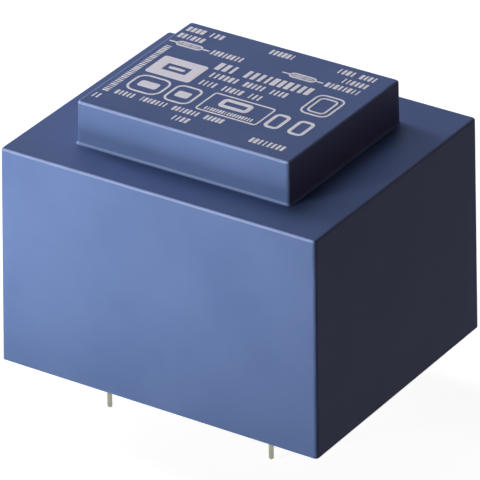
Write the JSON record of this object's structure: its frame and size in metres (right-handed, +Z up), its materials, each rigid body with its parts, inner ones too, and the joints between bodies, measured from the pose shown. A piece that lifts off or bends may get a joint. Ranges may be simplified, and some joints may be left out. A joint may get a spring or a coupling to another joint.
{
  "type": "pcb transformer",
  "caption": "Encapsulated mains transformer for a circuit board: drafted box case with a raised plateau, filled with resin, standing on long round pins.",
  "frame": {"origin": "centre of the case's open rim, on the seating plane, midway between the four corner pins", "axes": "+Z up, away from the board; X along the long side of the case; -Y is the mains side with two pins, +Y the output side with four"},
  "size_m": [0.058, 0.048, 0.0533],
  "materials": {
    "case_plastic": "satin moulded blue, slightly dusty",
    "casting_resin": "cast, self-levelled, near black",
    "core_steel": "blue-grey annealed electrical sheet",
    "former_plastic": "glass-filled, natural",
    "enamelled_copper": "glossy enamel over copper",
    "polyester_tape": "smooth yellow film",
    "tinned_wire": "matt tin plating",
    "solder": "bright solder"
  },
  "bodies": {
    "root": {"case": "case_plastic", "casting_resin": "casting_resin", "e_laminations": "core_steel", "i_laminations": "core_steel", "coil_former": "former_plastic", "mains_winding": "enamelled_copper", "inner_output_winding": "enamelled_copper", "outer_output_winding": "enamelled_copper", "mains_cover_tape": "polyester_tape", "output_layer_tape": "polyester_tape", "output_cover_tape": "polyester_tape", "pin_1": "tinned_wire", "pin_2": "tinned_wire", "pin_3": "tinned_wire", "pin_4": "tinned_wire", "pin_5": "tinned_wire", "pin_6": "tinned_wire", "solder_joint_1": "solder", "solder_joint_2": "solder", "solder_joint_3": "solder", "solder_joint_4": "solder", "solder_joint_5": "solder", "solder_joint_6": "solder"}
  },
  "joints": []
}
